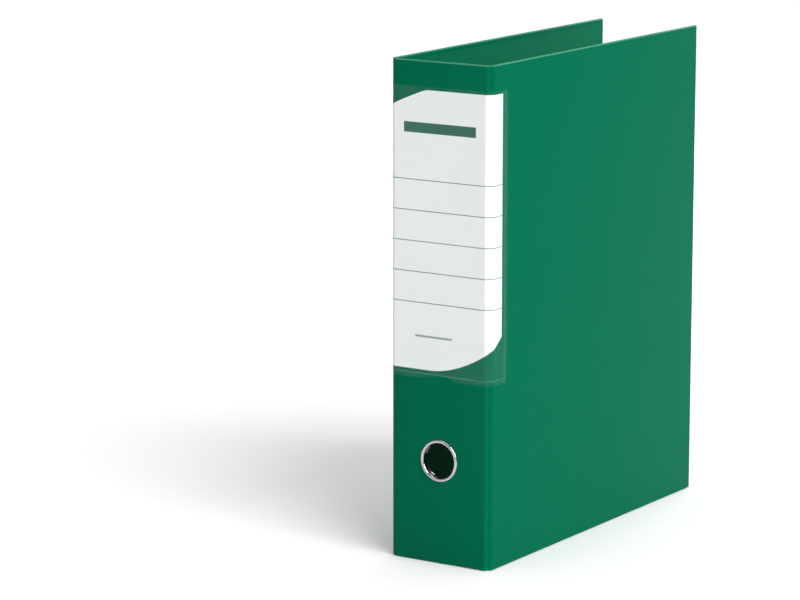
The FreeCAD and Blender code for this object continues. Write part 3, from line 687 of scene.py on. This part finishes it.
def card_edges():
    """The card's bottom and top heights at a place across it, which is 0 at the spine's middle."""
    half = SPINE_WIDTH / 2 + HINGE_WIDTH + (CARD_FLAP_HIGH.y - CARD_FLAP_LOW.y)
    rise = 27 * MM
    drop = 18 * MM
    bottom_start = -0.15 * half
    top_start = -0.20 * half
    rounded, nearly_straight = 1.9, 1.15

    def bottom(across):
        """Level, then a curve up to the front cover's end of the card."""
        share = max(0.0, (across - bottom_start) / (half - bottom_start))
        return CARD_LOW.z + rise * share ** rounded

    def top(across):
        """Level, then a corner and a nearly straight slope down to the back cover's end."""
        share = max(0.0, (top_start - across) / (half + top_start))
        return CARD_HIGH.z - drop * share ** nearly_straight

    return bottom, top, half


class TitleCard(bpy.types.Operator):
    """The card in the pocket, round both corners"""

    bl_idname = "lever_arch.title_card"
    bl_label = "Title card"

    def execute(self, context):
        bottom, top, half = card_edges()
        half_spine = SPINE_WIDTH / 2
        flap = half - half_spine
        proud = 0.06 * MM
        main = wrapped_sheet(
            "title_card", 1, -SPINE_WIDTH, flap, 160, 12,
            lambda u: bottom(half_spine + u), lambda u: top(half_spine + u), proud,
        )
        turn = wrapped_sheet(
            "title_card_back_turn", -1, 0, flap, 48, 12,
            lambda u: bottom(-half_spine - u), lambda u: top(-half_spine - u), proud,
        )
        for card, cover, side, nodes in (
            (main, "front_cover", 1, ("label_card", "label_front_flap")),
            (turn, "back_cover", -1, ("label_back_flap",)),
        ):
            modify(card, "SOLIDIFY", thickness=CARD_THICKNESS, offset=1, use_even_offset=False)
            smooth(card, 40)
            settle(card, "card", nodes)
            bend_with(card)
        return {"FINISHED"}


class TitlePocket(bpy.types.Operator):
    """The clear pocket over the card, with its thumb notch"""

    bl_idname = "lever_arch.title_pocket"
    bl_label = "Title pocket"

    def execute(self, context):
        looks = context.scene.lever_arch_title
        half_spine = SPINE_WIDTH / 2
        flap = HINGE_WIDTH + (FLAP_HIGH.y - FLAP_LOW.y)
        corner = 4 * MM

        def round_off(u):
            """How far the film's end is cut back at its two outer corners."""
            past = max(0.0, u - (flap - corner))
            return corner - math.sqrt(max(0.0, corner ** 2 - past ** 2))

        def bottom(u):
            share = min(1.0, abs(half_spine + u) / (looks.notch_width / 2)) if u < 0 else 1.0
            return POCKET_LOW.z + looks.notch_height * math.sqrt(1 - share ** 2) + round_off(u)

        def top(u):
            return POCKET_HIGH.z - round_off(u)

        proud = 0.31 * MM
        main = wrapped_sheet("title_pocket", 1, -SPINE_WIDTH, flap, 220, 16, bottom, top, proud)
        turn = wrapped_sheet("title_pocket_back_turn", -1, 0, flap, 70, 16, bottom, top, proud)
        for film, cover, side, nodes in (
            (main, "front_cover", 1, ("label_pocket", "pocket_front_flap")),
            (turn, "back_cover", -1, ("pocket_back_flap",)),
        ):
            modify(film, "SOLIDIFY", thickness=POCKET_THICKNESS, offset=1, use_even_offset=False)
            smooth(film, 40)
            settle(film, "pocket", nodes)
            bend_with(film)
        return {"FINISHED"}


# ---------------------------------------------------------------- finger ring


class FingerRing(bpy.types.Operator):
    """The plated ring in the finger hole and its washer inside"""

    bl_idname = "lever_arch.finger_ring"
    bl_label = "Finger ring"

    def execute(self, context):
        outer = (RING_HIGH.x - RING_LOW.x) / 2 / MM
        hole = 12.5  # the clear opening's radius
        front = (RING_CENTRE.y - RING_LOW.y) / MM
        back = (RING_CENTRE.y - RING_HIGH.y) / MM
        face = (RING_CENTRE.y - SPINE_FACE) / MM
        wall = 0.6
        lip = 0.8  # how far the inner end is turned out over the washer
        lip_sheet = 0.5
        rounding = 0.3
        clear = 0.02  # between the flange and the spine
        flange_sheet = 0.2
        crown = (outer - hole) / 2
        middle = (outer + hole) / 2
        flange = [
            (middle + crown * math.cos(math.radians(a)), face + (front - face) * math.sin(math.radians(a)))
            for a in range(0, 181, 12)
        ]
        profile = flange + [
            (hole, back + rounding),
            (hole + rounding, back),
            (hole + wall + lip, back),
            (hole + wall + lip, back + lip_sheet),
            (hole + wall, back + lip_sheet + 0.05),
            (hole + wall, face + clear),
            (outer - flange_sheet, face + clear),
        ]
        ring = lathe("finger_ring_turned", profile, RING_CENTRE, (0, -1, 0), steps=128)
        settle(ring, "plating", ("finger_ring",), "spine")
        pressed_copy("finger_ring_washer", "plating", 0.1 * MM)
        return {"FINISHED"}


# ---------------------------------------------------------------- mechanism


class PlateAndPosts(bpy.types.Operator):
    """The base plate with its rivets, and the two fixed posts"""

    bl_idname = "lever_arch.plate_and_posts"
    bl_label = "Plate and posts"

    def execute(self, context):
        edge = context.scene.lever_arch_metal.edge
        pressed_copy("base_plate", "plating", edge)
        pressed_copy("cover_rivets", "plating", 0.25 * MM)
        for node in ("lower_post", "upper_post"):
            pressed_copy(node, "plating", edge)
        return {"FINISHED"}


class ArchWire(bpy.types.Operator):
    """The wire of both arches and the leaf spring under its crank"""

    bl_idname = "lever_arch.arch_wire"
    bl_label = "Arch wire"

    def execute(self, context):
        pressed_copy("arch_wire", "plating", degrees=60)
        pressed_copy("arch_spring", "spring", 0.1 * MM)
        return {"FINISHED"}


class LeverParts(bpy.types.Operator):
    """The lever, its bracket and pin, and its roller"""

    bl_idname = "lever_arch.lever_parts"
    bl_label = "Lever"

    def execute(self, context):
        edge = context.scene.lever_arch_metal.edge
        pressed_copy("lever_bracket", "plating", edge)
        pressed_copy("lever", "plating", edge)
        pressed_copy("lever_pivot_pin", "plating", edge)
        pressed_copy("roller_pin", "spring", 0.1 * MM)
        pressed_copy("roller", "roller", 0.2 * MM)
        return {"FINISHED"}


class Compressor(bpy.types.Operator):
    """The bar that holds the sheets down, and its clips"""

    bl_idname = "lever_arch.compressor"
    bl_label = "Compressor bar"

    def execute(self, context):
        pressed_copy("compressor_bar", "plating", context.scene.lever_arch_metal.edge)
        pressed_copy("compressor_clips", "spring", 0.1 * MM)
        return {"FINISHED"}


# ---------------------------------------------------------------- stage


def aimed_light(kind, name, place, aim, energy, **settings):
    """A light at a place that looks at a point."""
    data = bpy.data.lights.new(name, kind)
    data.energy = energy
    for key, value in settings.items():
        setattr(data, key, value)
    light = bpy.data.objects.new(name, data)
    bpy.context.scene.collection.objects.link(light)
    light.location = place
    light.rotation_euler = (Vector(aim) - Vector(place)).to_track_quat("-Z", "Y").to_euler()


class Stage(bpy.types.Operator):
    """The pale floor, the soft lights and the camera"""

    bl_idname = "lever_arch.stage"
    bl_label = "Stage"

    def execute(self, context):
        looks = context.scene.lever_arch_stage
        scene = context.scene
        bpy.ops.object.select_all(action="DESELECT")
        bpy.ops.mesh.primitive_plane_add(size=14, location=(0, 0, -0.3 * MM))
        floor = added("floor")
        pale = Surface("pale floor", Roughness=0.85)
        pale.feed(Base_Color=(*looks.floor_colour, 1.0))
        floor.data.materials.append(pale.material)

        world = bpy.data.worlds.new("studio")
        world.use_nodes = True
        world.node_tree.nodes["Background"].inputs["Color"].default_value = (1, 1, 1, 1)
        world.node_tree.nodes["Background"].inputs["Strength"].default_value = 0.27
        scene.world = world

        aim = (0, 0, HEIGHT / 2)
        soft = math.radians(50)  # how wide each sun looks, which softens its shadow
        aimed_light("SUN", "key", (1.9, -0.6, 1.7), aim, 3.4, angle=soft)
        aimed_light("SUN", "overhead", (-0.1, 0.25, 3.0), aim, 1.2, angle=soft)
        aimed_light("AREA", "fill", (-1.4, -2.2, 1.1), aim, 4, shape="SQUARE", size=1.6)
        aimed_light("AREA", "back", (-0.2, 2.0, 0.9), aim, 14, shape="SQUARE", size=1.2)

        from_spine = Vector((1.2572, -1.9491, 0.6428))  # spine face's middle, at the foot, to the camera
        down, round_z = 11.459, 33.49  # degrees below level, and turned towards the spine
        data = bpy.data.cameras.new("camera")
        data.lens = looks.lens
        data.sensor_width = 36
        data.shift_y = 0.02433
        camera = bpy.data.objects.new("camera", data)
        scene.collection.objects.link(camera)
        middle = (SPINE_LOW.x + SPINE_HIGH.x) / 2
        camera.location = Vector((middle, SPINE_FACE, 0)) + from_spine
        camera.rotation_euler = (math.radians(90 - down), 0, math.radians(round_z))
        scene.camera = camera
        scene.view_settings.view_transform = "Standard"
        return {"FINISHED"}


# ---------------------------------------------------------------- add-on


OPERATORS = (
    Stage, CaseSkins, BoardsAndLinings, HingeFilms, TitleCard, TitlePocket, FingerRing,
    PlateAndPosts, ArchWire, LeverParts, Compressor,
)


class LeverArchPanel(bpy.types.Panel):
    """Lists the pieces of the file and the sizes and colours they use"""

    bl_idname = "VIEW3D_PT_lever_arch"
    bl_label = "Lever arch file"
    bl_space_type = "VIEW_3D"
    bl_region_type = "UI"
    bl_category = "Lever arch file"

    def draw(self, context):
        for operator in OPERATORS:
            self.layout.operator(operator.bl_idname)
        for group in GROUPS:
            box = self.layout.box()
            for name in group.__annotations__:
                box.prop(getattr(context.scene, GROUPS[group]), name)


GROUPS = {
    FilmLooks: "lever_arch_film",
    TitleLooks: "lever_arch_title",
    MetalLooks: "lever_arch_metal",
    StageLooks: "lever_arch_stage",
}
CLASSES = (*GROUPS, *OPERATORS, LeverArchPanel)


def register():
    for item in CLASSES:
        bpy.utils.register_class(item)
    for group, name in GROUPS.items():
        setattr(bpy.types.Scene, name, bpy.props.PointerProperty(type=group))


def unregister():
    for name in GROUPS.values():
        delattr(bpy.types.Scene, name)
    for item in reversed(CLASSES):
        bpy.utils.unregister_class(item)


def main():
    register()
    for operator in OPERATORS:
        category, name = operator.bl_idname.split(".")
        getattr(getattr(bpy.ops, category), name)()
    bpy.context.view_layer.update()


if __name__ == "__main__":
    main()
